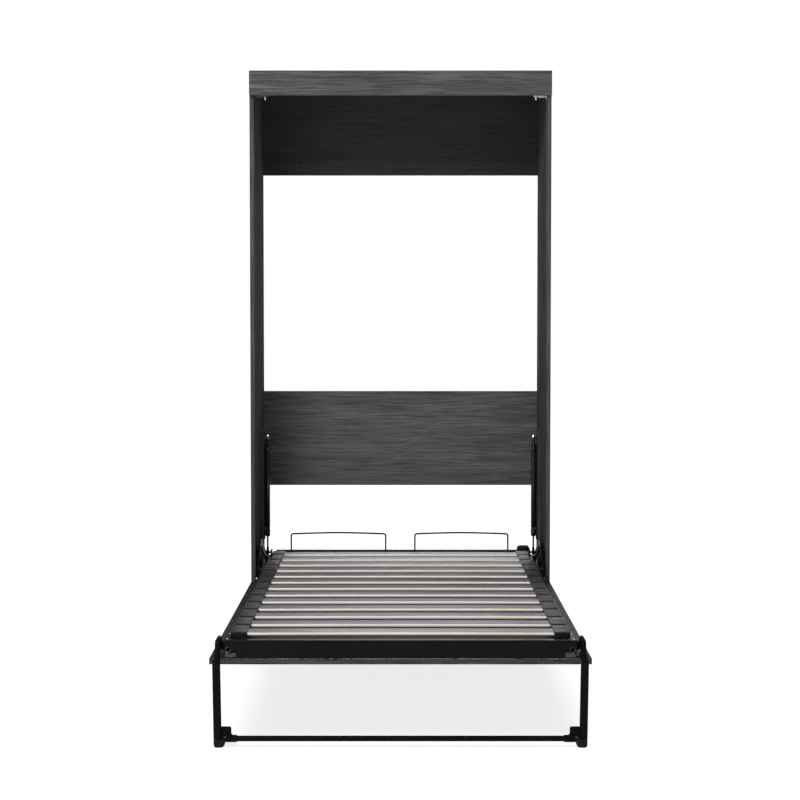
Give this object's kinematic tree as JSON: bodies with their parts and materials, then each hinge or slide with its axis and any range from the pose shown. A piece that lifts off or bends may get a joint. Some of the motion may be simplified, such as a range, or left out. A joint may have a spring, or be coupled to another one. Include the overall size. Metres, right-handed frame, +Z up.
{
  "type": "murphy wall bed",
  "caption": "Upright single wall bed: dark woodgrain cabinet, black steel frame with sprung slats, gas spring lift and swing-down leg.",
  "frame": {"origin": "floor level, middle of the width, on the wall plane at the back of the cabinet", "axes": "+Z up, +Y towards the wall, +X to the right as seen from the foot of the open bed, which opens towards -Y"},
  "size_m": [1.13, 2.0782, 2.19],
  "materials": {
    "laminate": "satin dark oak grain laminate",
    "black_steel": "black powder coat",
    "birch": "lacquered plywood",
    "holder_plastic": "moulded, matte",
    "zinc": "zinc plated",
    "chrome": "polished",
    "rubber": "moulded"
  },
  "bodies": {
    "cabinet": {"side_panel_left": "laminate", "side_panel_right": "laminate", "top_panel": "laminate", "header_fascia": "laminate", "upper_back_panel": "laminate", "lower_back_panel": "laminate", "bottom_back_rail": "laminate", "toe_rail": "laminate", "lift_channel_left": "black_steel", "lift_channel_right": "black_steel", "pivot_plate_left": "black_steel", "pivot_plate_right": "black_steel", "pivot_pins": "zinc", "spring_studs": "zinc", "lift_screws": "zinc", "latch_body_left": "zinc", "latch_body_right": "zinc"},
    "bed": {"front_panel": "laminate", "lower_front_panel": "laminate", "side_rail_left": "black_steel", "side_rail_right": "black_steel", "foot_rail": "black_steel", "head_rail": "black_steel", "rail_end_caps": "holder_plastic", "slat_01": "birch", "slat_02": "birch", "slat_03": "birch", "slat_04": "birch", "slat_05": "birch", "slat_06": "birch", "slat_07": "birch", "slat_08": "birch", "slat_09": "birch", "slat_10": "birch", "slat_11": "birch", "slat_12": "birch", "slat_13": "birch", "slat_holders_left": "holder_plastic", "slat_holders_right": "holder_plastic", "mattress_hoop_left": "black_steel", "mattress_hoop_right": "black_steel", "pivot_bracket_left": "black_steel", "pivot_bracket_right": "black_steel", "bracket_bolts": "zinc", "spring_lugs": "black_steel", "head_corner_guard": "rubber", "leg_hinge_studs": "black_steel"},
    "leg": {"leg_arm_left": "black_steel", "leg_arm_right": "black_steel", "leg_feet": "rubber", "leg_crossbar": "black_steel", "crossbar_tabs": "black_steel", "crossbar_bolts": "zinc"},
    "gas_cylinder_left": {"gas_cylinder_left": "black_steel"},
    "gas_cylinder_right": {"gas_cylinder_right": "black_steel"},
    "gas_rod_left": {"gas_rod_left": "chrome"},
    "gas_rod_right": {"gas_rod_right": "chrome"},
    "latch_bolt_left": {"latch_bolt_left": "zinc"},
    "latch_bolt_right": {"latch_bolt_right": "zinc"}
  },
  "joints": [
    {"name": "bed_fold", "type": "hinge", "parent": "cabinet", "child": "bed", "pos_m": [0, -0.386, 0.381], "axis": [-1, 0, 0], "range_deg": [0, 90]},
    {"name": "leg_swing", "type": "hinge", "parent": "bed", "child": "leg", "pos_m": [0, -1.997, 0.299], "axis": [1, 0, 0], "range_deg": [0, 81.8]},
    {"name": "gas_swing_left", "type": "hinge", "parent": "cabinet", "child": "gas_cylinder_left", "pos_m": [-0.52, -0.236, 0.804], "axis": [-1, 0, 0], "range_deg": [0, 17.5]},
    {"name": "gas_stroke_left", "type": "slide", "parent": "gas_cylinder_left", "child": "gas_rod_left", "axis": [0, 0, -1], "range_m": [0, 0.1478]},
    {"name": "latch_slide_left", "type": "slide", "parent": "cabinet", "child": "latch_bolt_left", "axis": [0, 0, -1], "range_m": [0, 0.03]},
    {"name": "gas_swing_right", "type": "hinge", "parent": "cabinet", "child": "gas_cylinder_right", "pos_m": [0.52, -0.236, 0.804], "axis": [-1, 0, 0], "range_deg": [0, 17.5]},
    {"name": "gas_stroke_right", "type": "slide", "parent": "gas_cylinder_right", "child": "gas_rod_right", "axis": [0, 0, -1], "range_m": [0, 0.1478]},
    {"name": "latch_slide_right", "type": "slide", "parent": "cabinet", "child": "latch_bolt_right", "axis": [0, 0, -1], "range_m": [0, 0.03]}
  ],
  "couplings": [
    {"joint": "gas_swing_left", "follows": "bed_fold", "ratio": 0.19378},
    {"joint": "gas_stroke_left", "follows": "bed_fold", "m_per_rad": 0.093965},
    {"joint": "gas_swing_right", "follows": "bed_fold", "ratio": 0.19378},
    {"joint": "gas_stroke_right", "follows": "bed_fold", "m_per_rad": 0.093965}
  ]
}
